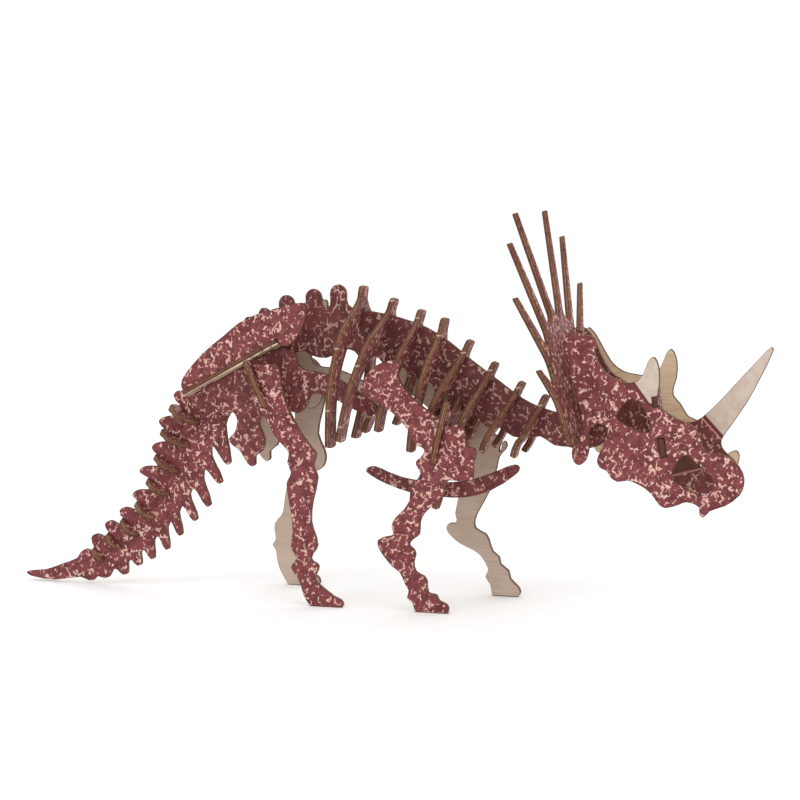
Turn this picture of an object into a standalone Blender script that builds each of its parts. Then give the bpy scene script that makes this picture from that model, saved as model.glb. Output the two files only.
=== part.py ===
"""Flat-pack plywood skeleton of a horned dinosaur, slotted together without glue.

Every piece is a flat plate of the same plywood. Upright plates stand in X-Z
planes, one in the middle and pairs to the sides. Cross plates carry them, and
each crossing is a pair of open slots, or a tenon in a mortise.
+X points to the head, -Y is the animal's right side, +Z is up, Z = 0 is the table.
The drawings below are in millimetres and are scaled to metres when they are built.
"""

import math

import bmesh
import bpy
from mathutils import Matrix, Vector

MM = 0.001
PLY = 3.0                # plywood thickness
FIT = 0.25               # clearance on each side of a slot, and behind its end
SLOT = PLY + 2 * FIT     # slot width
CURVE_SAG = 0.13         # how far a round stretch may lie from its straight pieces
MARGIN = 4.0             # how far a slot's cutter runs out past an open end
PLY_ROUGHNESS = 0.6

HIP_Y = 12.0             # middle of each hip plate
ILIUM_Y = 18.0           # middle of each ilium leaf
LEG_Y = 28.5             # middle of each leg plate
SKULL_Y = 27.0           # middle of each skull side plate

SHELF_AT = (-79.5, 126.0)
SHELF_LEAN = 61.0        # degrees forward from upright
SHELF_HALF_LENGTH = 31.0
SHELF_HALF_WIDTH = 22.5

PELVIS_AT = (-55.0, 106.7)
PELVIS_LEAN = -24.3
PELVIS_HEIGHT = 27.0
PELVIS_LAP = 14.0        # height where the hip plates sit on the pelvis plate

GIRDLE_AT = (38.0, 80.0)
GIRDLE_LEAN = 13.3
GIRDLE_HEIGHT = 34.0
ARM_REACH = 33.5         # half width of the pelvis plate and of the girdle
LEG_LAP = 6.0            # height of a leg's seat above a cross plate's lower edge
GIRDLE_TAB = 30.0        # how far its lower tab reaches down through the sternum
SPINE_LAP = 5.0          # depth of the girdle's slot under the spine
STERNUM_DROP = 18.5      # sternum's seat, below the girdle's middle line

FRILL_AT = (114.5, 88.5)
FRILL_LEAN = -14.6
FRILL_SLOT_TOP = 30.0
BROW_SLOT_OUT = 20.0     # how far the skull core's slots run on past its outline
FRILL_SLOT_OUT = 45.0

BROW_AT = (159.6, 88.0)
BROW_LEAN = -8.5
BROW_LAP = 8.0           # height where the core sits in the brow plate

RIB_PROUD = 7.5          # how far a rib stands above the spine
RIB_LAP = 12.0           # top of a rib down to the end of its slot
RIB_ROOT = 20.0          # top of a rib down to its arch

# top point x, z, lean in degrees, length, widest half width, half width at the tips
RIBS = [
    (-9.3, 170.7, 8.0, 86.0, 38.5, 28.5),
    (8.0, 164.2, 17.5, 79.0, 36.0, 28.0),
    (23.4, 158.4, 17.0, 67.0, 26.0, 22.0),
    (36.3, 154.2, 12.0, 72.0, 26.0, 20.0),
    (50.5, 142.6, 24.0, 56.0, 25.0, 20.0),
    (64.2, 131.1, 24.5, 51.0, 23.0, 19.0),
    (79.0, 121.0, 27.0, 41.0, 22.0, 18.0),
    (92.0, 114.3, 25.0, 35.0, 20.5, 17.0),
]

# top point x, z, lean in degrees, length, half width
VERTEBRAE = [
    (-122.0, 102.0, -64.0, 19.0, 12.0),
    (-127.5, 88.0, -66.0, 18.0, 11.0),
    (-131.5, 74.0, -60.0, 16.5, 10.0),
    (-136.5, 60.0, -62.0, 15.5, 9.5),
    (-143.5, 47.0, -56.0, 14.5, 9.0),
    (-152.5, 37.0, -52.0, 13.0, 8.0),
    (-161.5, 28.5, -46.0, 11.5, 7.0),
    (-170.5, 19.5, -48.0, 9.5, 6.0),
]
VERTEBRA_LAP = 0.45      # share of a vertebra's length above the end of its slot
VERTEBRA_CLEAR = 8.0     # how far its slot runs out past its top, clear of the tail's knobs

CORNER = "corner"


def clear_scene():
    for item in list(bpy.data.objects):
        bpy.data.objects.remove(item, do_unlink=True)


def make_material(name, colour, roughness):
    material = bpy.data.materials.new(name)
    material.use_nodes = True
    shader = material.node_tree.nodes["Principled BSDF"]
    shader.inputs["Base Color"].default_value = (*colour, 1.0)
    shader.inputs["Roughness"].default_value = roughness
    shader.inputs["Metallic"].default_value = 0.0
    material.diffuse_color = (*colour, 1.0)
    return material


# ---------------------------------------------------------------- outlines

def is_corner(point):
    return len(point) == 3


def span_points(start, end, leave, arrive):
    """Points from start up to, but not including, end along a smooth span."""
    length = (end - start).length
    if leave is None and arrive is None:
        return [start]
    chord = (end - start) / length
    first = (leave or chord) * length
    last = (arrive or chord) * length
    turn = first.angle(chord) + last.angle(chord)
    count = max(1, math.ceil(math.sqrt(length * turn / 8 / CURVE_SAG)))
    points = []
    for index in range(count):
        t = index / count
        points.append(
            start * (2 * t ** 3 - 3 * t ** 2 + 1)
            + first * (t ** 3 - 2 * t ** 2 + t)
            + end * (3 * t ** 2 - 2 * t ** 3)
            + last * (t ** 3 - t ** 2)
        )
    return points


def smooth(drawn):
    """Closed outline through the drawn points, round except at marked corners."""
    places = [Vector(point[:2]) for point in drawn]
    total = len(places)
    headings = []
    for index, point in enumerate(drawn):
        if is_corner(point):
            headings.append(None)
        else:
            across = places[(index + 1) % total] - places[index - 1]
            headings.append(across.normalized())
    outline = []
    for index in range(total):
        after = (index + 1) % total
        outline += span_points(places[index], places[after], headings[index], headings[after])
    return outline


def mirrored(half):
    """Full outline from its right half, which is drawn from the top down."""
    left = [(-point[0], *point[1:]) for point in reversed(half) if point[0] > 0.01]
    return half + left


def bar(start, end, width=SLOT):
    """Rectangle of a given width along a line, as a cutter's outline."""
    start = Vector(start)
    end = Vector(end)
    along = (end - start).normalized()
    side = Vector((-along.y, along.x)) * (width / 2)
    return [start - side, end - side, end + side, start + side]


# ------------------------------------------------------- planes and solids

def upright(y, at=(0.0, 0.0)):
    """Frame of an upright plate: drawn x and z, with its outside facing -Y."""
    axes = Matrix(((1, 0, 0), (0, 0, -1), (0, 1, 0))).to_4x4()
    return Matrix.Translation(Vector((at[0], y, at[1])) * MM) @ axes


def cross(at, lean):
    """Frame of a cross plate: drawn y and height up the leaning plate."""
    angle = math.radians(lean)
    up = Vector((math.sin(angle), 0, math.cos(angle)))
    across = Vector((0, 1, 0))
    front = across.cross(up)
    axes = Matrix((across, up, front)).transposed().to_4x4()
    return Matrix.Translation(Vector((at[0], 0, at[1])) * MM) @ axes


def up_from(at, lean, height):
    """Drawn x and z of a place some way up a cross plate's middle line."""
    angle = math.radians(lean)
    return (at[0] + math.sin(angle) * height, at[1] + math.cos(angle) * height)


def add_prism(mesh, outline, thickness):
    bottom = [mesh.verts.new((x * MM, z * MM, -thickness / 2 * MM)) for x, z in outline]
    face = mesh.faces.new(bottom)
    result = bmesh.ops.extrude_face_region(mesh, geom=[face])
    moved = [item for item in result["geom"] if isinstance(item, bmesh.types.BMVert)]
    bmesh.ops.translate(mesh, verts=moved, vec=(0, 0, thickness * MM))


def prism_object(name, outlines, thickness, frame):
    mesh = bmesh.new()
    for outline in outlines:
        add_prism(mesh, outline, thickness)
    bmesh.ops.recalc_face_normals(mesh, faces=mesh.faces)
    data = bpy.data.meshes.new(name)
    mesh.to_mesh(data)
    mesh.free()
    item = bpy.data.objects.new(name, data)
    bpy.context.scene.collection.objects.link(item)
    item.matrix_world = frame
    return item


def plate(name, outline, frame, cuts, colour, origin=None):
    """One plywood piece: an extruded outline less its slots and openings."""
    shift = Vector(origin or (0.0, 0.0))
    placed = frame @ Matrix.Translation(Vector((*shift, 0.0)) * MM)
    body = [Vector(point) - shift for point in outline]
    item = prism_object(name, [body], PLY, placed)
    if cuts:
        holes = [[Vector(point) - shift for point in cut] for cut in cuts]
        cutter = prism_object(name + "_cutter", holes, PLY * 3, placed)
        cutter.hide_render = True
        cutter.display_type = "WIRE"
        slots = item.modifiers.new("slots", "BOOLEAN")
        slots.operation = "DIFFERENCE"
        slots.solver = "EXACT"
        slots.object = cutter
    item.data.materials.append(make_material(name, colour, PLY_ROUGHNESS))
    return item


MAROON = (0.22, 0.055, 0.065)
TAN = (0.62, 0.46, 0.30)
CREAM = (0.72, 0.58, 0.47)


# ------------------------------------------------------------ middle plates

def spine_outline():
    knobs = []
    for x, z, tilt, half in [(-76.5, 153.0, 24, 3.4), (-67.5, 158.1, 20, 3.4),
                             (-54.5, 165.3, 14, 4.2), (-38.5, 169.0, 8, 4.3),
                             (-24.0, 171.6, 3, 4.3)]:
        angle = math.radians(tilt)
        side = Vector((math.cos(angle), math.sin(angle))) * half
        down = Vector((math.sin(angle), -math.cos(angle)))
        tip = Vector((x, z))
        knobs += [tip - side * 1.15 + down * 11.0, tip - side + down * 3.2, tip,
                  tip + side + down * 3.2, tip + side * 1.15 + down * 11.0]
    top = [tuple(point) for point in knobs]
    top += [(-12.0, 158.0), (-5.5, 157.5), (10.0, 154.5), (25.5, 149.5), (38.5, 142.0),
            (51.0, 132.3), (65.5, 122.0), (79.0, 112.5), (88.0, 108.3)]
    neck_end = [(95.5, 106.1, CORNER), (121.5, 101.4, CORNER), (125.8, 97.0), (125.0, 92.0),
                (119.0, 88.0), (111.0, 86.5), (103.5, 87.5)]
    belly = [(97.0, 88.0), (89.0, 92.5), (81.5, 91.5), (74.0, 92.0), (66.5, 96.5),
             (59.5, 97.0), (52.5, 103.5), (45.5, 105.0), (38.5, 112.0), (32.5, 114.0),
             (27.5, 120.5), (19.0, 122.0), (11.0, 128.5), (4.0, 127.5), (-2.5, 133.0),
             (-9.5, 130.5), (-14.5, 135.5), (-20.0, 136.5), (-24.0, 134.5), (-30.5, 131.5),
             (-38.5, 132.5), (-43.0, 135.0), (-50.0, 133.5), (-58.0, 131.5), (-64.5, 129.0),
             (-72.0, 122.0), (-79.0, 113.0, CORNER)]
    rear = [(-92.5, 137.0, CORNER), (-87.0, 142.5)]
    return smooth(rear + top + neck_end + belly)


def make_spine():
    cuts = []
    for x, z, lean in [rib[:3] for rib in RIBS]:
        start = up_from((x, z), lean, -RIB_LAP - FIT)
        end = up_from((x, z), lean, -RIB_PROUD + MARGIN)
        cuts.append(bar(start, end))
    shelf_end = up_from(SHELF_AT, SHELF_LEAN, SHELF_HALF_LENGTH + FIT)
    shelf_out = up_from(SHELF_AT, SHELF_LEAN, -SHELF_HALF_LENGTH)
    cuts.append(bar(shelf_out, shelf_end))
    seat = up_from(GIRDLE_AT, GIRDLE_LEAN, GIRDLE_HEIGHT - SPINE_LAP + FIT)
    below = up_from(GIRDLE_AT, GIRDLE_LEAN, GIRDLE_HEIGHT - SPINE_LAP * 4)
    cuts.append(bar(below, seat))
    return plate("spine_plate", spine_outline(), upright(0.0), cuts, MAROON)


def tail_outline():
    back = [(-100.0, 122.0), (-109.0, 112.0)]
    knobs = [((-118.0, 111.0), (-120.0, 108.0), (-115.5, 99.5)),
             ((-127.0, 96.0), (-129.0, 93.0), (-122.5, 84.5)),
             ((-131.0, 81.5), (-133.5, 78.5), (-128.5, 70.0)),
             ((-138.0, 68.0), (-141.0, 65.0), (-134.5, 56.5)),
             ((-142.5, 54.5), (-145.5, 51.5), (-143.0, 44.0)),
             ((-150.0, 44.5), (-153.5, 42.0), (-152.0, 34.5)),
             ((-159.0, 36.5), (-162.5, 34.0), (-160.5, 27.0)),
             ((-167.5, 28.5), (-171.0, 26.0), (-169.5, 18.5)),
             ((-174.5, 19.5), (-178.0, 17.0), (-180.0, 14.0))]
    for knob in knobs:
        back += knob
    tip = [(-190.0, 10.0), (-200.0, 6.3), (-209.0, 5.2), (-211.5, 4.0), (-207.0, 2.0),
           (-194.0, 0.8), (-178.0, 3.2)]
    spikes = [((-173.0, 1.6), (-170.0, 1.8), (-167.5, 4.2)),
              ((-163.5, 3.2), (-160.5, 4.2), (-157.0, 9.0)),
              ((-152.0, 5.9), (-149.0, 7.0), (-148.0, 14.5)),
              ((-143.0, 11.4), (-140.5, 12.6), (-140.0, 20.5)),
              ((-135.0, 15.6), (-132.5, 16.6), (-131.5, 28.5)),
              ((-126.0, 21.5), (-123.5, 22.5), (-123.5, 37.0)),
              ((-118.0, 29.8), (-115.5, 31.0), (-116.5, 46.0)),
              ((-109.0, 38.4), (-106.5, 40.0), (-110.0, 56.0)),
              ((-101.0, 46.8), (-98.5, 48.5), (-102.5, 67.0)),
              ((-94.0, 60.0), (-91.5, 61.6), (-98.0, 80.0)),
              ((-89.0, 70.8), (-86.5, 72.5), (-89.5, 93.0))]
    belly = []
    for spike in spikes:
        belly += spike
    front = [(-86.5, 99.5), (-80.0, 112.0, CORNER), (-93.5, 131.0, CORNER)]
    return smooth(back + tip + belly + front)


def make_tail():
    split = up_from(SHELF_AT, SHELF_LEAN, 0.0)
    shelf_end = up_from(SHELF_AT, SHELF_LEAN, -SHELF_HALF_LENGTH - FIT)
    cuts = [bar(shelf_end, split)]
    for x, z, lean, length, _ in VERTEBRAE:
        start = up_from((x, z), lean, -length * VERTEBRA_LAP - FIT)
        end = up_from((x, z), lean, VERTEBRA_CLEAR)
        cuts.append(bar(start, end))
    seat = up_from(SHELF_AT, SHELF_LEAN, -SHELF_HALF_LENGTH)
    return plate("tail_plate", tail_outline(), upright(0.0), cuts, MAROON, origin=seat)


def skull_core_outline():
    return smooth([
        (101.8, 112.0), (101.5, 118.5), (103.5, 122.0), (106.5, 122.5), (106.0, 129.0),
        (104.6, 136.0), (103.4, 143.0), (104.8, 148.8), (109.0, 151.3), (113.0, 150.6),
        (118.0, 144.5), (121.2, 137.0), (126.5, 128.3), (133.0, 123.8), (141.0, 119.0),
        (150.0, 112.0), (158.0, 106.5), (164.5, 103.0), (171.5, 103.2), (178.5, 108.6),
        (187.5, 118.0), (197.2, 129.0), (206.0, 138.6), (210.3, 142.8), (211.4, 141.0),
        (205.2, 127.2), (197.5, 112.5), (187.4, 97.4), (185.2, 93.4), (185.6, 90.0),
        (188.5, 86.6), (192.5, 83.0), (193.5, 78.0), (191.0, 72.0), (184.0, 67.5),
        (176.0, 65.0), (168.0, 64.5), (160.0, 67.0), (152.0, 73.0), (146.0, 80.5),
        (138.0, 87.0), (131.0, 96.0),
        (126.5, 103.0), (121.0, 101.9, CORNER), (102.5, 105.2, CORNER),
    ])


def make_skull_core():
    brow_seat = up_from(BROW_AT, BROW_LEAN, BROW_LAP - FIT)
    brow_out = up_from(BROW_AT, BROW_LEAN, BROW_LAP + BROW_SLOT_OUT)
    frill_seat = up_from(FRILL_AT, FRILL_LEAN, FRILL_SLOT_TOP - FIT)
    frill_out = up_from(FRILL_AT, FRILL_LEAN, FRILL_SLOT_TOP + FRILL_SLOT_OUT)
    cuts = [bar(brow_seat, brow_out), bar(frill_seat, frill_out)]
    return plate("skull_core", skull_core_outline(), upright(0.0), cuts, CREAM, origin=frill_seat)


def make_sternum():
    outline = smooth([
        (-8.0, 71.2), (-3.5, 73.0), (4.5, 70.0), (12.0, 67.6), (24.0, 65.9), (36.0, 65.6),
        (49.0, 67.2), (60.5, 71.0), (69.0, 74.8), (75.0, 76.8), (77.6, 75.0), (75.0, 71.0),
        (62.0, 62.4), (48.0, 58.2), (34.0, 57.8), (19.0, 59.1), (4.0, 63.6), (-5.5, 68.2),
    ])
    seat = up_from(GIRDLE_AT, GIRDLE_LEAN, -STERNUM_DROP - FIT)
    out = up_from(GIRDLE_AT, GIRDLE_LEAN, -STERNUM_DROP + 3 * MARGIN)
    return plate("sternum_plate", outline, upright(0.0), [bar(seat, out)], MAROON, origin=seat)


# --------------------------------------------------------------- side plates

def along_shelf(v, rise):
    angle = math.radians(SHELF_LEAN)
    x, z = up_from(SHELF_AT, SHELF_LEAN, v)
    return Vector((x - math.cos(angle) * rise, z + math.sin(angle) * rise))


ILIUM_TENONS = (-17.0, 13.0)
HIP_TENONS = (-14.0, 9.0)
TENON_HALF = 3.5
TENON_OUT = PLY / 2 + 0.7


def hip_points():
    """Hip plate: ischium at the back, pubis bar in front, two tenons on top."""
    half = TENON_HALF
    top = []
    for middle in HIP_TENONS:
        for v, rise in [(middle - half, -PLY / 2 - FIT), (middle - half, TENON_OUT),
                        (middle + half, TENON_OUT), (middle + half, -PLY / 2 - FIT)]:
            top.append((*along_shelf(v, rise), CORNER))
    return [
        (-50.0, 136.5), (-45.5, 136.0), (-43.0, 129.5), (-40.0, 126.0), (-33.0, 125.3),
        (-24.0, 123.0), (-14.0, 118.5), (-6.0, 113.0), (1.5, 108.0), (2.5, 104.0),
        (-3.0, 102.5), (-12.0, 105.5), (-21.0, 110.0), (-31.0, 113.0), (-35.5, 112.0),
        (-38.0, 106.0), (-42.5, 102.3), (-48.0, 103.5), (-53.0, 106.0), (-58.0, 103.5),
        (-65.0, 98.0), (-64.5, 93.5), (-62.0, 87.0), (-63.5, 81.0), (-67.5, 77.8),
        (-67.5, 73.5), (-70.0, 72.0), (-73.5, 75.5), (-76.5, 80.5), (-81.0, 83.5),
        (-82.8, 86.8), (-79.5, 90.5), (-78.0, 97.0), (-80.5, 101.5), (-90.0, 101.0),
        (-99.0, 103.5), (-104.5, 107.5),
        (*along_shelf(-27.0, -PLY / 2 - FIT), CORNER),
        *top,
        (*along_shelf(24.0, -PLY / 2 - FIT), CORNER),
    ]


def make_hip(side, sign):
    seat = up_from(PELVIS_AT, PELVIS_LEAN, PELVIS_LAP + FIT)
    out = up_from(PELVIS_AT, PELVIS_LEAN, -MARGIN)
    name = "hip_plate_" + side
    return plate(name, smooth(hip_points()), upright(sign * HIP_Y), [bar(out, seat)], MAROON)


def make_ilium(side, sign):
    half = TENON_HALF
    rest = PLY / 2 + FIT
    foot = []
    for middle in reversed(ILIUM_TENONS):
        for v, rise in [(middle + half, rest), (middle + half, -TENON_OUT),
                        (middle - half, -TENON_OUT), (middle - half, rest)]:
            foot.append((*along_shelf(v, rise), CORNER))
    front = SHELF_HALF_LENGTH + 0.6
    outline = smooth([
        (*along_shelf(-30.5, rest), CORNER), (-108.3, 116.5), (-106.4, 121.5),
        (-101.5, 127.5), (-96.0, 133.5), (-89.5, 139.0), (-83.5, 143.5), (-75.0, 150.5),
        (-65.0, 155.5), (-52.0, 159.5), (-42.0, 162.0), (-36.5, 162.0), (-35.7, 158.5),
        (-37.0, 152.0), (-40.0, 146.0), (-43.5, 140.5), (-48.5, 138.8),
        (*along_shelf(front, -2.2), CORNER), (*along_shelf(front, rest), CORNER), *foot,
    ])
    seat = along_shelf(0.0, rest)
    name = "ilium_" + side
    return plate(name, outline, upright(sign * ILIUM_Y), [], MAROON, origin=seat)


def girdle_line(height):
    return up_from(GIRDLE_AT, GIRDLE_LEAN, height)


def pelvis_line(height):
    return up_from(PELVIS_AT, PELVIS_LEAN, height)


FRONT_SHOULDER = [
    (-1.5, 121.0), (2.5, 127.0), (7.0, 131.0), (14.5, 133.7), (18.3, 132.8), (19.5, 130.0),
    (18.5, 127.0), (20.0, 122.0), (24.0, 116.5), (30.0, 111.0), (37.0, 106.0), (43.0, 102.8),
    (47.0, 99.5), (50.6, 101.0), (54.0, 99.5), (55.5, 94.5), (56.0, 89.8), (61.0, 87.6),
    (59.8, 80.0),
]

SCAPULA_UNDER = [(33.0, 87.0), (28.0, 89.5), (24.0, 97.0), (18.5, 103.2), (12.5, 108.0),
                 (5.5, 111.5), (-1.5, 116.0)]

FRONT_LEG_RIGHT = FRONT_SHOULDER + [
    (59.6, 71.6, CORNER), (51.5, 71.0), (45.3, 70.3), (43.0, 62.0), (37.0, 56.7),
    (32.8, 52.6), (30.7, 48.0), (30.3, 41.5), (27.0, 38.8), (24.7, 35.8), (27.3, 33.5),
    (28.3, 30.5), (27.2, 26.5), (28.4, 21.6), (32.8, 19.3), (34.6, 16.5), (35.2, 10.8),
    (39.7, 9.6), (41.3, 6.6), (45.0, 5.0), (46.5, 2.6), (46.0, 0.0, CORNER),
    (28.0, 0.0, CORNER), (26.5, 5.0), (23.7, 7.2), (24.6, 11.0), (22.4, 14.8),
    (19.8, 20.5), (15.5, 23.6), (11.5, 28.0), (8.2, 32.8), (7.4, 37.4), (11.5, 39.5),
    (15.8, 40.8), (15.1, 45.0), (16.6, 49.3), (21.8, 54.5), (25.0, 60.0), (25.4, 64.8),
    (28.5, 70.0), (31.0, 74.2), (29.2, 77.3), (28.5, 80.4), (31.5, 83.2),
] + SCAPULA_UNDER

FRONT_LEG_LEFT = FRONT_SHOULDER + [
    (62.0, 86.0), (64.0, 83.0), (59.5, 77.0), (58.3, 71.5), (54.8, 59.5), (51.8, 53.5),
    (48.5, 47.5), (46.0, 42.0), (46.4, 37.0), (51.8, 34.2), (53.9, 30.8), (56.0, 24.7),
    (59.7, 21.6), (60.6, 17.6), (65.0, 14.2), (66.2, 9.6), (70.6, 5.5), (71.9, 2.2),
    (70.3, 0.0, CORNER), (56.0, 0.0, CORNER), (54.8, 6.0), (52.2, 10.0), (53.6, 14.6),
    (49.0, 22.0), (44.3, 25.0), (37.7, 27.9), (31.8, 32.5), (29.6, 36.3), (31.2, 39.0),
    (35.3, 39.8), (34.7, 45.0), (36.5, 54.0), (36.0, 62.0), (34.0, 70.0), (31.0, 78.0),
] + SCAPULA_UNDER

HIND_LEG_RIGHT = [
    (-62.5, 129.4, CORNER), (-49.5, 129.2), (-47.0, 121.5), (-44.6, 111.0), (-41.0, 103.0),
    (-35.4, 93.0), (-30.0, 86.0), (-26.9, 82.4), (-28.6, 76.0), (-26.2, 69.6),
    (-29.0, 57.0), (-30.0, 45.7), (-26.5, 33.0), (-30.2, 25.6), (-25.8, 21.8),
    (-27.8, 14.6), (-22.0, 9.0), (-17.5, 5.8), (-13.4, 4.0), (-12.0, 1.5),
    (-13.0, 0.0, CORNER), (-30.8, 0.0, CORNER), (-34.0, 4.7), (-36.0, 11.2),
    (-38.3, 16.0), (-41.4, 20.4), (-38.4, 25.2), (-41.4, 31.6), (-40.3, 40.0),
    (-41.8, 53.3), (-43.8, 65.5), (-41.3, 71.8), (-43.3, 77.5), (-42.4, 82.4),
    (-47.0, 87.6), (-50.8, 92.0), (-55.0, 100.0), (-60.5, 107.5), (-62.0, 113.5),
    (-59.0, 118.0, CORNER), (-60.5, 124.0, CORNER),
]

HIND_LEG_LEFT = [
    (-62.5, 129.4, CORNER), (-49.0, 129.0), (-42.5, 122.0), (-40.5, 110.0), (-42.8, 98.0),
    (-45.0, 86.5), (-41.5, 78.0), (-40.4, 73.5), (-41.8, 68.0), (-47.0, 64.6),
    (-52.5, 62.0), (-52.0, 54.0), (-56.5, 45.5), (-59.5, 38.0), (-57.0, 31.5),
    (-60.0, 26.0), (-57.5, 20.0), (-57.0, 12.0), (-51.0, 7.6), (-45.5, 5.4),
    (-44.0, 2.0), (-45.5, 0.0, CORNER), (-63.2, 0.0, CORNER), (-67.8, 8.0),
    (-69.6, 14.0), (-70.4, 19.4), (-72.4, 22.2), (-70.4, 25.0), (-71.0, 34.2),
    (-66.8, 39.5), (-65.4, 44.5), (-63.6, 55.7), (-57.5, 67.0), (-61.0, 74.0),
    (-60.5, 84.0), (-58.5, 95.0), (-59.8, 104.0), (-62.0, 113.5), (-59.0, 118.0, CORNER),
    (-60.5, 124.0, CORNER),
]


def make_front_leg(side, sign, outline):
    seat = girdle_line(LEG_LAP - FIT)
    cuts = [bar(seat, girdle_line(GIRDLE_HEIGHT + MARGIN))]
    name = "front_leg_" + side
    return plate(name, smooth(outline), upright(sign * LEG_Y), cuts, MAROON, origin=seat)


def make_hind_leg(side, sign, outline):
    seat = pelvis_line(LEG_LAP - FIT)
    cuts = [bar(seat, pelvis_line(PELVIS_HEIGHT + MARGIN))]
    name = "hind_leg_" + side
    return plate(name, smooth(outline), upright(sign * LEG_Y), cuts, MAROON, origin=seat)


# -------------------------------------------------------------- cross plates

def rib_outline(length, wide, tips):
    arm = 6.0 + 0.06 * length
    outer = [(4.6, -0.6), (5.4, -7.0), (wide * 0.46, -15.0), (wide * 0.82, -24.0)]
    shoulder = min(24.0 + 0.30 * length, length * 0.72)
    outer += [(wide, -shoulder), ((wide + tips) / 2 + 1.5, -(shoulder + length) / 2)]
    outer += [(tips, -length + 1.2), (tips - 1.4, -length), (tips - arm + 1.4, -length)]
    inner = [(tips - arm, -length + 1.2), ((wide + tips) / 2 - arm + 1.5, -(shoulder + length) / 2),
             (wide - arm - 0.5, -shoulder), (wide * 0.44, -24.0 - 0.06 * length)]
    inner += [(4.0, -22.0)]
    half = [(0.0, 0.3)] + outer + inner + [(0.0, -RIB_ROOT)]
    return smooth(mirrored(half))


def make_ribs():
    for number, (x, z, lean, length, wide, tips) in enumerate(RIBS, start=1):
        slot = bar((0.0, -RIB_ROOT - MARGIN), (0.0, -RIB_LAP))
        seat = (0.0, -RIB_LAP)
        plate(f"rib_{number}", rib_outline(length, wide, tips), cross((x, z), lean), [slot],
              MAROON, origin=seat)


def make_vertebrae():
    for number, (x, z, lean, length, wide) in enumerate(VERTEBRAE, start=1):
        half = [(0.0, 0.4), (wide * 0.38, -0.6), (wide * 0.62, -length * 0.22),
                (wide * 0.97, -length * 0.42), (wide, -length * 0.6), (wide * 0.74, -length * 0.84),
                (wide * 0.35, -length)]
        seat = (0.0, -length * VERTEBRA_LAP)
        slot = bar((0.0, -length - MARGIN), seat)
        plate(f"tail_vertebra_{number}", smooth(mirrored(half + [(0.0, -length * 0.98)])),
              cross((x, z), lean), [slot], MAROON, origin=seat)


def make_shelf():
    end = SHELF_HALF_LENGTH
    wide = SHELF_HALF_WIDTH
    half = [(0.0, end, CORNER), (wide - 3.5, end, CORNER), (wide - 0.8, end - 3.5), (wide, end - 9.0),
            (wide, 0.0), (wide, -end + 6.0), (wide - 1.2, -end + 1.4), (wide - 5.0, -end, CORNER),
            (0.0, -end, CORNER)]
    cuts = []
    for sign in (-1, 1):
        for middle in ILIUM_TENONS:
            low = (sign * ILIUM_Y, middle - TENON_HALF - FIT)
            high = (sign * ILIUM_Y, middle + TENON_HALF + FIT)
            cuts.append(bar(low, high))
        for middle in HIP_TENONS:
            low = (sign * HIP_Y, middle - TENON_HALF - FIT)
            high = (sign * HIP_Y, middle + TENON_HALF + FIT)
            cuts.append(bar(low, high))
    plate("sacral_shelf", smooth(mirrored(half)), cross(SHELF_AT, SHELF_LEAN), cuts, TAN)


def make_pelvis_plate():
    top = PELVIS_HEIGHT
    reach = ARM_REACH
    half = [(0.0, top - 7.0), (7.0, top - 6.0), (12.0, top - 4.0), (18.0, top - 4.0), (23.0, top - 5.5),
            (26.0, top - 3.5), (30.0, top + 0.4), (reach - 0.6, top - 0.6), (reach, top - 4.0), (reach, 14.0),
            (reach, 4.0), (reach - 1.0, 0.6), (reach - 3.5, 0.0), (24.0, 0.5), (18.0, 4.0),
            (9.0, 8.0), (0.0, 9.0)]
    cuts = []
    for sign in (-1, 1):
        cuts.append(bar((sign * HIP_Y, PELVIS_LAP), (sign * HIP_Y, top + MARGIN)))
        cuts.append(bar((sign * LEG_Y, -MARGIN), (sign * LEG_Y, LEG_LAP)))
    frame = cross(PELVIS_AT, PELVIS_LEAN)
    plate("pelvis_cross_plate", smooth(mirrored(half)), frame, cuts, MAROON)


def make_girdle():
    top = GIRDLE_HEIGHT
    reach = ARM_REACH
    half = [(0.0, top + 0.5), (6.0, top), (10.0, top - 5.0), (18.0, top - 8.0), (25.0, top - 5.0),
            (30.0, top - 0.4), (reach - 0.6, top - 1.2), (reach, top - 5.0), (reach, 17.0),
            (reach, 4.0), (reach - 1.0, 0.6), (reach - 3.5, 0.0), (25.0, 0.0), (19.0, 3.0),
            (13.0, 2.0), (8.0, -4.0), (6.0, -12.0), (5.0, -GIRDLE_TAB + 4.0), (2.5, -GIRDLE_TAB + 0.5),
            (0.0, -GIRDLE_TAB)]
    cuts = [bar((0.0, top - SPINE_LAP), (0.0, top + MARGIN)),
            bar((0.0, -GIRDLE_TAB - MARGIN), (0.0, -STERNUM_DROP))]
    for sign in (-1, 1):
        cuts.append(bar((sign * LEG_Y, -MARGIN), (sign * LEG_Y, LEG_LAP)))
    plate("shoulder_girdle", smooth(mirrored(half)), cross(GIRDLE_AT, GIRDLE_LEAN), cuts, MAROON)


# --------------------------------------------------------------------- head

SPIKES = [((10.0, 71.0), (34.0, 127.0), 2.6), ((28.0, 63.0), (61.0, 112.0), 2.8),
          ((38.0, 50.0), (77.0, 84.5), 2.8), ((42.0, 30.0), (66.0, 46.5), 2.6)]


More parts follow.
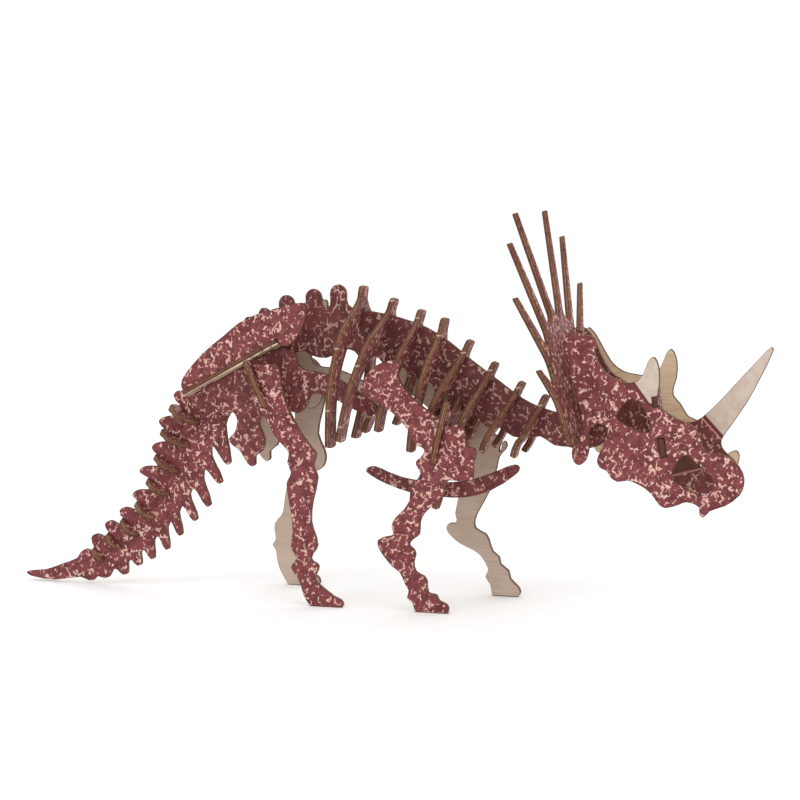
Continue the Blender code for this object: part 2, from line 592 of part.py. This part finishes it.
def frill_outline():
    """Fan-shaped frill: spikes standing out of a round plate, a scallop between each."""
    half = [(0.0, 69.0)]
    for base, tip, width in SPIKES:
        base = Vector(base)
        tip = Vector(tip)
        along = (tip - base).normalized()
        side = Vector((-along.y, along.x))
        half += [tuple(base + side * width * 1.5 + along * 1.0),
                 tuple(base + side * width + along * 8.0),
                 tuple(tip + side * 0.8 - along * 1.2), tuple(tip),
                 tuple(tip - side * 0.8 - along * 1.2),
                 tuple(base - side * width + along * 8.0),
                 tuple(base - side * width * 1.5 + along * 1.0)]
    half += [(43.0, 20.0), (42.0, 12.0), (38.0, 6.0), (33.0, 5.0), (30.5, 7.5, CORNER),
             (23.5, 7.5, CORNER), (20.5, 3.0), (14.0, 1.5), (8.0, 3.0), (0.0, 5.0)]
    return smooth(mirrored(half))


def make_frill():
    slot = bar((0.0, -6.0), (0.0, FRILL_SLOT_TOP))
    plate("frill_plate", frill_outline(), cross(FRILL_AT, FRILL_LEAN), [slot], MAROON,
          origin=(0.0, FRILL_SLOT_TOP))


SKULL_UNDER = [
    (180.8, 57.0), (178.6, 58.5), (178.3, 62.2), (172.0, 64.5), (168.0, 63.0), (161.5, 61.0),
    (158.0, 62.4), (154.0, 67.6), (150.0, 71.0), (146.0, 73.0), (141.5, 74.5),
    (136.0, 73.6), (132.0, 76.2), (130.5, 79.0), (126.8, 80.6), (125.2, 84.5),
    (127.2, 89.5), (129.5, 95.0), (130.8, 100.0), (127.8, 103.3), (123.0, 102.5),
    (120.7, 98.5), (121.0, 91.0), (119.5, 84.5), (115.5, 81.5), (112.3, 85.0),
    (112.5, 91.0), (115.6, 94.3), (117.6, 100.0), (116.4, 110.0), (112.8, 121.0),
    (110.4, 133.0), (107.8, 142.0),
]
SKULL_RIGHT = [
    (107.8, 147.0), (111.0, 149.6), (118.0, 149.4), (123.4, 147.5), (124.0, 144.0),
    (123.4, 140.0), (125.6, 134.5), (129.7, 129.6), (134.5, 126.6), (139.7, 125.0),
    (145.0, 125.6), (148.4, 128.8), (150.7, 134.7), (153.4, 138.6), (155.9, 136.5),
    (157.2, 131.1), (157.2, 124.0), (156.4, 118.5), (157.4, 112.8), (160.5, 110.8),
    (165.5, 107.3), (171.5, 105.5), (176.0, 102.5), (179.0, 96.5), (180.5, 91.0),
    (185.0, 89.8), (190.0, 89.6), (196.0, 86.4), (200.2, 80.8), (201.1, 75.0),
    (198.9, 69.0), (192.0, 63.5), (184.0, 60.4),
] + SKULL_UNDER
SKULL_LEFT = [
    (107.0, 147.0), (109.6, 149.1), (114.9, 142.1), (121.5, 131.0), (128.0, 126.0),
    (134.5, 124.6), (141.0, 124.0), (145.0, 125.6), (148.4, 128.8), (150.7, 134.7),
    (153.2, 138.5), (155.6, 136.5), (157.2, 131.1), (156.9, 123.0), (155.3, 117.7),
    (155.4, 113.6), (159.2, 109.2), (161.4, 105.6), (163.6, 102.6), (168.4, 100.6),
    (173.0, 95.0), (177.5, 86.5), (182.5, 82.6), (186.5, 84.6), (189.5, 85.2),
    (191.0, 82.6), (190.2, 77.5), (188.5, 69.0), (185.0, 62.0),
] + SKULL_UNDER
EYE_RIGHT = [(135.3, 107.3), (140.5, 115.6), (146.0, 116.0), (151.5, 107.5), (153.0, 101.0),
             (148.5, 99.6), (139.0, 103.6)]
EYE_LEFT = [(129.5, 101.5), (135.0, 110.0), (140.0, 109.6), (146.5, 101.0), (147.0, 95.0),
            (142.0, 94.0), (133.0, 98.0)]
NOSTRIL = [(164.0, 77.0), (167.5, 86.0), (171.8, 88.6), (176.5, 85.0), (183.5, 79.5),
           (185.6, 73.5), (182.0, 69.0), (177.5, 68.6), (170.0, 72.5)]


CHEEK_TENON = (-0.5, 8.9)    # heights of the tenons up the brow plate
HORN_TENON = (25.4, 30.3)
SHOULDER = SKULL_Y - PLY / 2 - FIT
TENON_END = SKULL_Y + PLY / 2 + 0.8


def tenon(heights):
    low, high = heights
    return [(SHOULDER, high, CORNER), (TENON_END, high, CORNER), (TENON_END, low, CORNER),
            (SHOULDER, low, CORNER)]


def mortise(heights):
    low = up_from(BROW_AT, BROW_LEAN, heights[0] - FIT)
    high = up_from(BROW_AT, BROW_LEAN, heights[1] + FIT)
    return bar(low, high)


def horn_notch():
    """Slot for the upper tenon, open at the horn's front edge."""
    middle = Vector(up_from(BROW_AT, BROW_LEAN, sum(HORN_TENON) / 2))
    forward = Vector(up_from((0.0, 0.0), BROW_LEAN + 90.0, 1.0))
    height = HORN_TENON[1] - HORN_TENON[0] + 2 * FIT
    return bar(middle - forward * (SLOT / 2), middle + forward * MARGIN, height)


def make_skull_side(side, sign, outline, eye, more_cuts):
    cuts = [smooth(eye), smooth(NOSTRIL), mortise(CHEEK_TENON)] + more_cuts
    name = "skull_side_" + side
    plate(name, smooth(outline), upright(sign * SKULL_Y), cuts, MAROON, origin=BROW_AT)


def make_brow_plate():
    """Cross plate of the head, with an arm up to the right horn only."""
    foot = [(22.0, -2.5), (10.0, -1.5)]
    left = [(0.0, 18.6), (3.2, 17.6), (6.0, 14.5), (14.0, 12.5), (22.0, 12.0),
            *tenon(CHEEK_TENON), *foot, (0.0, -1.0)]
    arm = [(3.2, 17.6), (6.0, 14.5), (13.0, 14.5), (18.0, 19.0), (18.2, 26.0), (17.8, 32.0),
           (19.8, 35.2), (23.5, 36.2), (SHOULDER, 34.0, CORNER), *tenon(HORN_TENON),
           *tenon(CHEEK_TENON), *foot]
    outline = left + [(-point[0], *point[1:]) for point in reversed(arm)]
    slot = bar((0.0, -MARGIN), (0.0, BROW_LAP))
    frame = cross(BROW_AT, BROW_LEAN)
    plate("brow_cross_plate", smooth(outline), frame, [slot], MAROON)


def main():
    clear_scene()
    make_spine()
    make_tail()
    make_skull_core()
    make_sternum()
    make_shelf()
    make_pelvis_plate()
    make_girdle()
    for side, sign in (("right", -1), ("left", 1)):
        make_hip(side, sign)
        make_ilium(side, sign)
    make_hind_leg("right", -1, HIND_LEG_RIGHT)
    make_hind_leg("left", 1, HIND_LEG_LEFT)
    make_front_leg("right", -1, FRONT_LEG_RIGHT)
    make_front_leg("left", 1, FRONT_LEG_LEFT)
    make_skull_side("right", -1, SKULL_RIGHT, EYE_RIGHT, [horn_notch()])
    make_skull_side("left", 1, SKULL_LEFT, EYE_LEFT, [])
    make_brow_plate()
    make_ribs()
    make_vertebrae()
    make_frill()


main()
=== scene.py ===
"""Looks of the plywood dinosaur skeleton: printed, bare and laser-cut surfaces.

Each plate is printed on one side and bare on the other, and its cut edge shows the
plies. The three zones come from the plate's own plane, found from its mesh.
"""

import math

import bpy
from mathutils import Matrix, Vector

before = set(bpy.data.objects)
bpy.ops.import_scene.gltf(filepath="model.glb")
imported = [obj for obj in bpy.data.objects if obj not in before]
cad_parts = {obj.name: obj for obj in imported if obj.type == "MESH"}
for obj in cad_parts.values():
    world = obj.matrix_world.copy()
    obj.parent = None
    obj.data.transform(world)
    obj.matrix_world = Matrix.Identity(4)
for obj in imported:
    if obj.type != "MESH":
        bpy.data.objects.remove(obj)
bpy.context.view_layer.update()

MM = 0.001
PER_MM = 1000.0
UP = Vector((0.0, 0.0, 1.0))
FORWARD = (1.0, 0.0, 0.0)

# the camera: degrees round and up, distance and aim in mm
AZIMUTH = 16.5
ELEVATION = 5.85
LENS = 102.6
SENSOR = 36.0
DISTANCE = 1232.4
AIM = (11.0, 0.0, 109.6)
CLIP = (0.05, 50.0)       # m

# the plates, in mm
HALF_PLY = 1.5
EDGE_ROUND = 0.24         # the scorched arris round every cut edge
ARRIS_ANGLE = 50          # degrees, the least corner that gets an arris
JOIN_GAP = 0.005          # corners closer than this are one
FLAT_ANGLE = 0.4          # degrees, between faces that are one flat face
TICK_STEP = 33.0          # up a rib between the nubs it was snapped from
TICK_SHIFT = 9.0          # from one rib's nubs to the next one's
TICK_HALF = (0.018, 0.008)     # half a nub's height, as shares of the step
TICK_STRENGTH = 0.5
SIDE_PLATE = 0.5          # a plate whose normal has more y than this faces sideways
FACE_ALIGNED = 0.8        # a surface this close to the plate's normal is its face

PRINTED_LEFT = {"hip_plate_left", "ilium_left", "skull_side_left", "hind_leg_left",
                "front_leg_left"}
TAN_BACKS = {"skull_side_left", "skull_side_right", "brow_cross_plate", "frill_plate",
             "sacral_shelf"}
HORNED = {"skull_core", "skull_side_left", "skull_side_right"}

# painted shade: plates deep inside the skeleton, where the ribs and other plates shade
# them, get their print darkened towards the scorch colour by these shares
PAINTED_SHADE_SHARES = {"spine_plate": 0.30, "skull_core": 0.34, "sternum_plate": 0.15,
               "hip_plate_right": 0.15}


def srgb(red, green, blue):
    """Linear colour from 8-bit sRGB values."""
    values = []
    for channel in (red, green, blue):
        share = channel / 255
        if share <= 0.04045:
            values.append(share / 12.92)
        else:
            values.append(((share + 0.055) / 1.055) ** 2.4)
    return (*values, 1.0)


MAROON_DARK = srgb(98, 42, 45)
MAROON = srgb(122, 57, 60)
MAROON_LIGHT = srgb(142, 77, 77)
FLECK_CREAM = srgb(222, 186, 170)
FLECK_PINK = srgb(188, 132, 124)
HORN_CREAM = srgb(199, 182, 168)
HORN_SHADE = srgb(190, 172, 157)
TAN_LIGHT = srgb(208, 184, 156)
TAN_DARK = srgb(188, 162, 132)
GREY_LIGHT = srgb(192, 171, 155)
GREY_DARK = srgb(178, 157, 141)
SCORCH = srgb(58, 32, 24)
PLY_RED = srgb(96, 50, 36)
PLY_BROWN = srgb(110, 72, 48)
PLY_TAN = srgb(166, 120, 84)
PLY_CREAM = srgb(216, 190, 162)
FLOOR_COLOURS = (srgb(255, 255, 254), srgb(253, 253, 252))
WHITE = (1.0, 1.0, 1.0, 1.0)

# the plies across a cut edge, from the back at 0 to the printed face at 1
PLIES = [
    (0.0, SCORCH), (0.12, PLY_RED), (0.30, PLY_BROWN), (0.36, SCORCH), (0.42, PLY_BROWN),
    (0.56, PLY_TAN), (0.63, PLY_BROWN), (0.70, SCORCH), (0.78, PLY_RED), (0.90, PLY_TAN),
    (1.0, SCORCH)]
SHELF_PLIES = [
    (0.0, PLY_BROWN), (0.12, PLY_TAN), (0.20, SCORCH), (0.34, PLY_BROWN),
    (0.58, SCORCH), (0.66, PLY_CREAM), (0.90, PLY_CREAM), (1.0, PLY_TAN)]

# soft patches: noise scale per mm, its detail, and the two levels it fades between
STROKE_GAPS = (0.34, 1.0, 0.52, 0.57)
FLECK_AREAS = (0.5, 1.0, 0.61, 0.65)
PRINT_CLOUDS = (0.2, 3.0, 0.36, 0.6)
PRINT_LIGHTS = (0.7, 3.0, 0.52, 0.76)
FLECK_TINT = (0.8, 1.0, 0.35, 0.6)
EDGE_STREAKS = (0.5, 4.0, 0.50, 0.72)
EDGE_PATCHES = (0.055, 2.0, 0.40, 0.62)
ARRIS_PATCHES = (0.6, 3.0, 0.42, 0.66)
NOSTRIL_GRAIN = (1.0, 3.0, 0.42, 0.6)
HORN_GRAIN = (1.0, 4.0, 0.4, 0.64)

# fibres: how fine the noise is along x, y and z, per mm
BARE_FIBRES = (0.09, 0.5, 1.1)
NOSTRIL_FIBRES = (0.5, 1.0, 1.4)
HORN_FIBRES = (0.25, 1.0, 0.25)
BUMP_FIBRES = (0.4, 1.5, 2.2)
FIBRE_DETAIL = 4.0

# the print's strokes and flecks: cell scale per mm, and the rim that shows
WARP_SCALE = 0.24
WARP_REACH = (5.0, 5.0, 5.0)      # mm
STROKE_STRETCH = (1.0, 1.0, 0.75)
STROKE_CELLS = 0.235
STROKE_RIM = (0.100, 0.050)
FLECK_CELLS = 0.36
FLECK_RIM = (0.11, 0.06)

# bare faces
BARE_CLOUDS = 0.05        # per mm
BARE_CLOUD_DETAIL = 2.0
FIBRE_PART = 0.6
CLOUD_PART = 0.4
BARE_LEVELS = (0.36, 0.62)

# cut edges
PATCH_STRENGTH = 0.55
# how far the brow cross plate's cut edges are drawn darker, towards the scorch colour
BROW_EDGE_DARKENING = 0.6

# horns: root lines as start and end in x and z, in mm
NOSE_HORN_ROOT = ((176.6, 107.0), (186.0, 96.8))
BROW_HORN_ROOT = ((144.5, 125.5), (152.0, 115.5))
BROW_HORN_FOOT = 114.8    # z
ROOT_FADE = (-0.2, 0.2)
BAND_MIDDLE = 0.9         # mm below the root line
BAND_HALF = (1.1, 0.8)
STRIPE_MIDDLE = 2.3
STRIPE_HALF = (0.45, 0.2)

# the painted shade behind the nostril, dark bare wood drawn on the core, in mm
NOSTRIL_LINE = ((159.0, 74.0), (175.0, 78.5))
NOSTRIL_FADE = (-0.3, 0.3)
NOSTRIL_FRONT = (175.6, 175.0)    # x
NOSTRIL_TOP = (92.0, 91.0)        # z
NOSTRIL_RIM = (0.7, 0.3)

# finish
WEAR_SCALE = 0.7          # per mm
WEAR_DETAIL = 3.0
ROUGHNESS = (0.5, 0.72)
SPECULAR = 0.3
BUMP_STRENGTH = 0.18
BUMP_DEPTH = 0.12         # mm
ARRIS_ROUGHNESS = 0.7
ARRIS_SPECULAR = 0.25

# the stage, in m
FLOOR_RADIUS = 7.0
FLOOR_DROP = 0.0002
FLOOR_SIDES = 96
FLOOR_CLOUDS = 0.002      # per mm
FLOOR_DETAIL = 2.0
FLOOR_ROUGHNESS = 0.9
SKY = 1.06
LIGHT_SIZE = 1.6
LIGHTS = [                # name, place, watts
    ("key", (-0.9, -1.6, 2.0), 9.0),
    ("fill", (1.6, -1.2, 1.2), 4.0),
    ("back", (-0.4, 1.8, 1.6), 5.0),
]


class Graph:
    """One material's nodes, added by short calls."""

    def __init__(self, name):
        self.material = bpy.data.materials.new(name)
        self.material.use_nodes = True
        self.tree = self.material.node_tree
        self.shader = self.tree.nodes["Principled BSDF"]

    def put(self, socket, value):
        if isinstance(value, bpy.types.NodeSocket):
            self.tree.links.new(value, socket)
        else:
            socket.default_value = value

    def finish(self, colour, roughness, specular):
        self.put(self.shader.inputs["Base Color"], colour)
        self.put(self.shader.inputs["Roughness"], roughness)
        self.put(self.shader.inputs["Specular IOR Level"], specular)

    def node(self, kind, **settings):
        made = self.tree.nodes.new(kind)
        for key, value in settings.items():
            setattr(made, key, value)
        return made

    def math(self, operation, first, second=0.0, clamp=False):
        made = self.node("ShaderNodeMath", operation=operation, use_clamp=clamp)
        self.put(made.inputs[0], first)
        self.put(made.inputs[1], second)
        return made.outputs[0]

    def vector(self, operation, first, second):
        made = self.node("ShaderNodeVectorMath", operation=operation)
        self.put(made.inputs[0], first)
        self.put(made.inputs[1], second)
        return made.outputs["Value" if operation == "DOT_PRODUCT" else "Vector"]

    def dot(self, first, direction):
        return self.vector("DOT_PRODUCT", first, direction)

    def scaled(self, vector, factor):
        return self.vector("MULTIPLY", vector, factor)

    def added(self, first, second):
        return self.vector("ADD", first, second)

    def noise(self, vector, scale, detail):
        made = self.node("ShaderNodeTexNoise")
        self.put(made.inputs["Vector"], vector)
        made.inputs["Scale"].default_value = scale
        made.inputs["Detail"].default_value = detail
        return made

    def level(self, vector, scale, detail):
        """Plain noise, as one number."""
        return self.noise(vector, scale, detail).outputs["Fac"]

    def fibres(self, place, fineness):
        return self.level(self.scaled(place, fineness), 1.0, FIBRE_DETAIL)

    def patches(self, vector, scale, detail, low, high):
        return self.between(self.level(vector, scale, detail), low, high)

    def cell_edge(self, vector, scale):
        made = self.node("ShaderNodeTexVoronoi", feature="DISTANCE_TO_EDGE")
        self.put(made.inputs["Vector"], vector)
        made.inputs["Scale"].default_value = scale
        return made.outputs["Distance"]

    def between(self, value, low, high):
        """0 below low, 1 above high, smooth between; falls instead if low is the larger."""
        made = self.node("ShaderNodeMapRange", interpolation_type="SMOOTHSTEP")
        self.put(made.inputs["Value"], value)
        made.inputs["From Min"].default_value = min(low, high)
        made.inputs["From Max"].default_value = max(low, high)
        made.inputs["To Min"].default_value = 0.0 if low < high else 1.0
        made.inputs["To Max"].default_value = 1.0 if low < high else 0.0
        return made.outputs["Result"]

    def mix(self, share, first, second):
        made = self.node("ShaderNodeMix", data_type="RGBA")
        self.put(made.inputs["Factor"], share)
        self.put(made.inputs[6], first)
        self.put(made.inputs[7], second)
        return made.outputs[2]

    def ramp(self, value, stops):
        made = self.node("ShaderNodeValToRGB")
        elements = made.color_ramp.elements
        while len(elements) < len(stops):
            elements.new(0.5)
        for element, (place, colour) in zip(elements, stops):
            element.position = place
            element.color = colour
        self.put(made.inputs[0], value)
        return made.outputs[0]


# ------------------------------------------------------------------ the zones

def place_in_mm(graph):
    coordinates = graph.node("ShaderNodeTexCoord").outputs["Object"]
    return graph.scaled(coordinates, (PER_MM, PER_MM, PER_MM))


def crackle(graph, place):
    """Maroon print under short broken cream strokes and small flecks."""
    warp = graph.noise(place, WARP_SCALE, 1.0).outputs["Color"]
    warped = graph.added(place, graph.scaled(warp, WARP_REACH))
    warped = graph.scaled(warped, STROKE_STRETCH)
    strokes = graph.between(graph.cell_edge(warped, STROKE_CELLS), *STROKE_RIM)
    strokes = graph.math("MULTIPLY", strokes, graph.patches(place, *STROKE_GAPS))
    flecks = graph.between(graph.cell_edge(warped, FLECK_CELLS), *FLECK_RIM)
    flecks = graph.math("MULTIPLY", flecks, graph.patches(warped, *FLECK_AREAS))
    marks = graph.math("MAXIMUM", strokes, flecks)
    ground = graph.mix(graph.patches(place, *PRINT_CLOUDS), MAROON_DARK, MAROON)
    ground = graph.mix(graph.patches(place, *PRINT_LIGHTS), ground, MAROON_LIGHT)
    tint = graph.mix(graph.patches(place, *FLECK_TINT), FLECK_PINK, FLECK_CREAM)
    return graph.mix(marks, ground, tint)


def bare_wood(graph, node, place):
    """Sanded face: faint long fibres and soft clouds."""
    fibres = graph.math("MULTIPLY", graph.fibres(place, BARE_FIBRES), FIBRE_PART)
    clouds = graph.level(place, BARE_CLOUDS, BARE_CLOUD_DETAIL)
    share = graph.math("ADD", fibres, graph.math("MULTIPLY", clouds, CLOUD_PART))
    share = graph.between(share, *BARE_LEVELS)
    if node in TAN_BACKS:
        return graph.mix(share, TAN_DARK, TAN_LIGHT)
    return graph.mix(share, GREY_DARK, GREY_LIGHT)


def cut_edge(graph, node, place, through):
    """Laser-cut edge: plies side by side, scorched in long patches."""
    height = graph.math("DIVIDE", graph.math("ADD", through, HALF_PLY), 2 * HALF_PLY, True)
    plies = graph.ramp(height, SHELF_PLIES if node == "sacral_shelf" else PLIES)
    burnt = graph.mix(graph.patches(place, *EDGE_STREAKS), plies, SCORCH)
    patches = graph.math("MULTIPLY", graph.patches(place, *EDGE_PATCHES), PATCH_STRENGTH)
    burnt = graph.mix(patches, burnt, PLY_RED)
    # the brow cross plate's cut edges are drawn darker, mixed towards the scorch colour
    if node == "brow_cross_plate":
        burnt = graph.mix(BROW_EDGE_DARKENING, burnt, SCORCH)
    if node.startswith("rib_"):
        nub = graph.math("MULTIPLY", rib_nub(graph, node, place), TICK_STRENGTH)
        burnt = graph.mix(nub, burnt, PLY_CREAM)
    return burnt


def rib_nub(graph, node, place):
    """The small pale nubs a rib was snapped from, at even steps up its edge."""
    start = TICK_SHIFT * int(node[-1])
    level = graph.math("ADD", graph.dot(place, UP), start)
    level = graph.math("FRACT", graph.math("DIVIDE", level, TICK_STEP))
    off_middle = graph.math("ABSOLUTE", graph.math("SUBTRACT", level, 0.5))
    return graph.between(off_middle, *TICK_HALF)


def beyond_line(graph, place, start, end):
    """Distance in mm up and forward of a line drawn in x and z."""
    along = Vector((end[0] - start[0], end[1] - start[1])).normalized()
    across = (-along.y, 0.0, along.x)
    offset = across[0] * start[0] + across[2] * start[1]
    return graph.math("SUBTRACT", graph.dot(place, across), offset)


def past_horn_root(graph, name, place):
    """Distance in mm past the line where a horn starts."""
    if name == "skull_core":
        return beyond_line(graph, place, *NOSE_HORN_ROOT)
    root = beyond_line(graph, place, *BROW_HORN_ROOT)
    foot = graph.math("SUBTRACT", graph.dot(place, UP), BROW_HORN_FOOT)
    return graph.math("MINIMUM", root, foot)


def near_line(graph, distance, middle, half):
    """1 on a line that runs middle mm short of where distance is nought."""
    return graph.between(graph.math("ABSOLUTE", graph.math("ADD", distance, middle)), *half)


def with_horn(graph, name, place, colour):
    """A cream horn with a dark band below its root, and a pink stripe on the nose."""
    root = past_horn_root(graph, name, place)
    grain = graph.patches(graph.scaled(place, HORN_FIBRES), *HORN_GRAIN)
    cream = graph.mix(grain, HORN_SHADE, HORN_CREAM)
    colour = graph.mix(near_line(graph, root, BAND_MIDDLE, BAND_HALF), colour, MAROON_DARK)
    if name == "skull_core":
        stripe = near_line(graph, root, STRIPE_MIDDLE, STRIPE_HALF)
        colour = graph.mix(stripe, colour, FLECK_PINK)
    return graph.mix(graph.between(root, *ROOT_FADE), colour, cream)


def painted_nostril_shade(graph, place, colour):
    """Painted shade on the core in the upper half of the nostril: dark bare wood as seen in
    shade through an opening that is not cut, with a pale rim drawn for the opening's lit
    edge.
    """
    rise = beyond_line(graph, place, *NOSTRIL_LINE)
    ahead = graph.between(graph.dot(place, FORWARD), *NOSTRIL_FRONT)
    below = graph.between(graph.dot(place, UP), *NOSTRIL_TOP)
    share = graph.math("MULTIPLY", graph.between(rise, *NOSTRIL_FADE), ahead)
    share = graph.math("MULTIPLY", share, below)
    grain = graph.patches(graph.scaled(place, NOSTRIL_FIBRES), *NOSTRIL_GRAIN)
    colour = graph.mix(share, colour, graph.mix(grain, PLY_RED, PLY_BROWN))
    rim = graph.between(graph.math("ABSOLUTE", rise), *NOSTRIL_RIM)
    rim = graph.math("MULTIPLY", rim, graph.math("MULTIPLY", ahead, below))
    return graph.mix(rim, colour, FLECK_PINK)


def printed(graph, name, place):
    colour = crackle(graph, place)
    # painted shade: the core gets dark bare wood drawn in its nostril, for shade seen
    # through an opening that is not cut
    if name == "skull_core":
        colour = painted_nostril_shade(graph, place, colour)
    # painted shade: the print of plates deep inside the skeleton is darkened towards the
    # scorch colour
    if name in PAINTED_SHADE_SHARES:
        colour = graph.mix(PAINTED_SHADE_SHARES[name], colour, SCORCH)
    if name in HORNED:
        colour = with_horn(graph, name, place, colour)
    return colour


def plate_plane(node):
    """Unit normal of a plate's printed side, and its middle plane's offset in mm."""
    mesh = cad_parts[node].data
    areas = {}
    for polygon in mesh.polygons:
        key = tuple(round(abs(part), 2) for part in polygon.normal)
        kept = areas.setdefault(key, [0.0, polygon.normal.copy()])
        kept[0] += polygon.area
    normal = max(areas.values(), key=lambda item: item[0])[1].normalized()
    outward = Vector(FORWARD)
    if abs(normal.y) > SIDE_PLATE:
        outward = Vector((0.0, 1.0 if node in PRINTED_LEFT else -1.0, 0.0))
    if normal.dot(outward) < 0:
        normal.negate()
    heights = [vertex.co.dot(normal) for vertex in mesh.vertices]
    return normal, (min(heights) + max(heights)) / 2 * PER_MM


def plate_material(node):
    """Print, bare wood or cut edge, by which way the surface faces."""
    normal, middle = plate_plane(node)
    graph = Graph("ply_" + node)
    place = place_in_mm(graph)
    facing = graph.dot(graph.node("ShaderNodeNewGeometry").outputs["True Normal"], normal)
    through = graph.math("SUBTRACT", graph.dot(place, normal), middle)
    edge = cut_edge(graph, node, place, through)
    bare = bare_wood(graph, node, place)
    front = bare if node == "sacral_shelf" else printed(graph, node, place)
    is_front = graph.math("GREATER_THAN", facing, FACE_ALIGNED)
    is_back = graph.math("LESS_THAN", facing, -FACE_ALIGNED)
    colour = graph.mix(is_front, edge, front)
    colour = graph.mix(is_back, colour, bare)
    rough = graph.node("ShaderNodeMapRange")
    graph.put(rough.inputs["Value"], graph.level(place, WEAR_SCALE, WEAR_DETAIL))
    rough.inputs["To Min"].default_value = ROUGHNESS[0]
    rough.inputs["To Max"].default_value = ROUGHNESS[1]
    graph.finish(colour, rough.outputs["Result"], SPECULAR)
    bump = graph.node("ShaderNodeBump")
    bump.inputs["Strength"].default_value = BUMP_STRENGTH
    bump.inputs["Distance"].default_value = BUMP_DEPTH * MM
    graph.put(bump.inputs["Height"], graph.fibres(place, BUMP_FIBRES))
    graph.put(graph.shader.inputs["Normal"], bump.outputs["Normal"])
    return graph.material


def scorch_material():
    graph = Graph("scorched_arris")
    patches = graph.patches(place_in_mm(graph), *ARRIS_PATCHES)
    colour = graph.mix(patches, SCORCH, PLY_BROWN)
    graph.finish(colour, ARRIS_ROUGHNESS, ARRIS_SPECULAR)
    return graph.material


def dress_plate(node, scorch):
    """A plate's surfaces, and the fine scorched arris round its cut edges."""
    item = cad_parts[node]
    item.data.materials.clear()
    item.data.materials.append(plate_material(node))
    item.data.materials.append(scorch)
    weld = item.modifiers.new("join_corners", "WELD")
    weld.merge_threshold = JOIN_GAP * MM
    flat = item.modifiers.new("whole_faces", "DECIMATE")
    flat.decimate_type = "DISSOLVE"
    flat.angle_limit = math.radians(FLAT_ANGLE)
    arris = item.modifiers.new("arris", "BEVEL")
    arris.width = EDGE_ROUND * MM
    arris.segments = 1
    arris.limit_method = "ANGLE"
    arris.angle_limit = math.radians(ARRIS_ANGLE)
    arris.use_clamp_overlap = False
    arris.material = 1


# ------------------------------------------------------------------- the stage

def make_floor():
    bpy.ops.mesh.primitive_circle_add(vertices=FLOOR_SIDES, radius=FLOOR_RADIUS,
                                      fill_type="NGON", location=(0, 0, -FLOOR_DROP))
    floor = bpy.context.object
    floor.name = "floor"
    graph = Graph("pale_floor")
    clouds = graph.level(place_in_mm(graph), FLOOR_CLOUDS, FLOOR_DETAIL)
    graph.finish(graph.mix(clouds, *FLOOR_COLOURS), FLOOR_ROUGHNESS, 0.0)
    floor.data.materials.append(graph.material)


def make_light(name, place, power):
    """A round soft light, facing the middle of the skeleton."""
    data = bpy.data.lights.new(name, "AREA")
    data.shape = "DISK"
    data.size = LIGHT_SIZE
    data.energy = power
    light = bpy.data.objects.new(name, data)
    bpy.context.scene.collection.objects.link(light)
    light.location = place
    aim = Vector(AIM) * MM
    light.rotation_euler = (aim - Vector(place)).to_track_quat("-Z", "Y").to_euler()


def make_lights():
    world = bpy.data.worlds.new("studio")
    bpy.context.scene.world = world
    world.use_nodes = True
    background = world.node_tree.nodes["Background"]
    background.inputs["Color"].default_value = WHITE
    background.inputs["Strength"].default_value = SKY
    for name, place, power in LIGHTS:
        make_light(name, place, power)


def make_camera():
    data = bpy.data.cameras.new("camera")
    data.lens = LENS
    data.sensor_width = SENSOR
    data.clip_start, data.clip_end = CLIP
    camera = bpy.data.objects.new("camera", data)
    bpy.context.scene.collection.objects.link(camera)
    turn = math.radians(AZIMUTH)
    rise = math.radians(ELEVATION)
    back = Vector((math.sin(turn) * math.cos(rise), -math.cos(turn) * math.cos(rise),
                   math.sin(rise)))
    camera.location = (Vector(AIM) + back * DISTANCE) * MM
    camera.rotation_euler = (-back).to_track_quat("-Z", "Y").to_euler()
    bpy.context.scene.camera = camera


scorch = scorch_material()
for name in sorted(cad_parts):
    dress_plate(name, scorch)
make_floor()
make_lights()
make_camera()
bpy.context.scene.view_settings.view_transform = "Standard"
